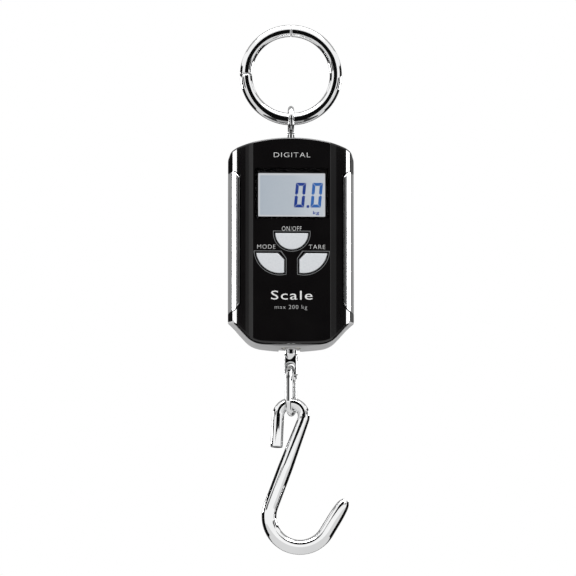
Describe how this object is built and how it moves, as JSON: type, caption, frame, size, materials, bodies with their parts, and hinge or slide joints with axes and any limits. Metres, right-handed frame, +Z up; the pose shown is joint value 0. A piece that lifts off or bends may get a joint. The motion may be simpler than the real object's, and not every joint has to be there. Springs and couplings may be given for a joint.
{
  "type": "digital hanging scale",
  "caption": "Digital hanging scale: a hinged ring on top, a glossy rectangular weighing unit with a display and push buttons, and a swivelling S-hook below.",
  "frame": {"origin": "hang point: the inside top of the ring, where a support bar bears", "axes": "+Z up along the hanging line, the display faces -Y, +X to the viewer's right"},
  "size_m": [0.064, 0.0268, 0.2728],
  "materials": {
    "chrome": "polished plating",
    "steel": "zinc plated",
    "cell_aluminium": "machined",
    "black_cover": "high gloss",
    "grey_shell": "satin moulded",
    "silver_key": "satin silver paint",
    "nylon": "moulded",
    "rubber": "matte",
    "board_green": "solder mask",
    "chip_black": "moulded",
    "lcd_glass": "display glass",
    "lens": "clear",
    "diffuser": "satin",
    "brass": "turned",
    "battery_sleeve": "printed sleeve",
    "gauge_foil": "film"
  },
  "bodies": {
    "ring": {"ring_body": "chrome", "gate_pin": "steel"},
    "gate": {"ring_gate": "chrome", "gate_plunger": "steel"},
    "scale_unit": {"top_eye_bolt": "chrome", "side_trim_left": "chrome", "side_trim_right": "chrome", "top_lock_nut": "steel", "swivel_yoke": "steel", "yoke_bolt": "steel", "battery_spring_left": "steel", "battery_spring_right": "steel", "battery_contact_left": "steel", "battery_contact_right": "steel", "case_screw_1": "steel", "case_screw_2": "steel", "case_screw_3": "steel", "case_screw_4": "steel", "board_screw_1": "steel", "board_screw_2": "steel", "board_screw_3": "steel", "board_screw_4": "steel", "load_cell": "cell_aluminium", "front_cover": "black_cover", "rear_shell": "grey_shell", "top_bush": "nylon", "bottom_bush": "nylon", "cell_cable": "rubber", "lcd_connector": "rubber", "main_board": "board_green", "controller_chip": "chip_black", "converter_chip": "chip_black", "power_switch": "chip_black", "mode_switch": "chip_black", "tare_switch": "chip_black", "lcd_panel": "lcd_glass", "display_lens": "lens", "lcd_backlight": "diffuser", "thrust_washer": "brass", "battery_left": "battery_sleeve", "battery_right": "battery_sleeve", "strain_gauge_front_left": "gauge_foil", "strain_gauge_front_right": "gauge_foil", "strain_gauge_rear_left": "gauge_foil", "strain_gauge_rear_right": "gauge_foil"},
    "power_key": {"power_button": "silver_key"},
    "mode_key": {"mode_button": "silver_key"},
    "tare_key": {"tare_button": "silver_key"},
    "door": {"battery_door": "grey_shell"},
    "rod": {"bottom_rod": "chrome", "rod_nut": "steel"},
    "link": {"link": "chrome"},
    "hook": {"hook": "chrome"}
  },
  "joints": [
    {"name": "gate_hinge", "type": "hinge", "parent": "ring", "child": "gate", "pos_m": [-0.0245, 0, -0.0198], "axis": [0, -1, 0], "range_deg": [0, 40], "stiffness_Nm_per_rad": 0.01},
    {"name": "scale_swing", "type": "hinge", "parent": "ring", "child": "scale_unit", "pos_m": [0, 0, -0.0427], "axis": [1, 0, 0], "range_deg": [-90, 90]},
    {"name": "power_press", "type": "slide", "parent": "scale_unit", "child": "power_key", "axis": [0, 1, 0], "range_m": [0, 0.0005], "stiffness_N_per_m": 800},
    {"name": "mode_press", "type": "slide", "parent": "scale_unit", "child": "mode_key", "axis": [0, 1, 0], "range_m": [0, 0.0005], "stiffness_N_per_m": 800},
    {"name": "tare_press", "type": "slide", "parent": "scale_unit", "child": "tare_key", "axis": [0, 1, 0], "range_m": [0, 0.0005], "stiffness_N_per_m": 800},
    {"name": "battery_door_hinge", "type": "hinge", "parent": "scale_unit", "child": "door", "pos_m": [0, 0.0125, -0.1492], "axis": [-1, 0, 0], "range_deg": [0, 95]},
    {"name": "rod_swivel", "type": "hinge", "parent": "scale_unit", "child": "rod", "pos_m": [0, 0, -0.1711], "axis": [0, 0, 1], "continuous": true},
    {"name": "link_swing", "type": "hinge", "parent": "rod", "child": "link", "pos_m": [0, 0, -0.17125], "axis": [0.284, 0.9588, 0], "range_deg": [-75, 75]},
    {"name": "hook_swing", "type": "hinge", "parent": "link", "child": "hook", "pos_m": [0, 0, -0.1893], "axis": [1, 0, 0], "range_deg": [-55, 55]}
  ]
}
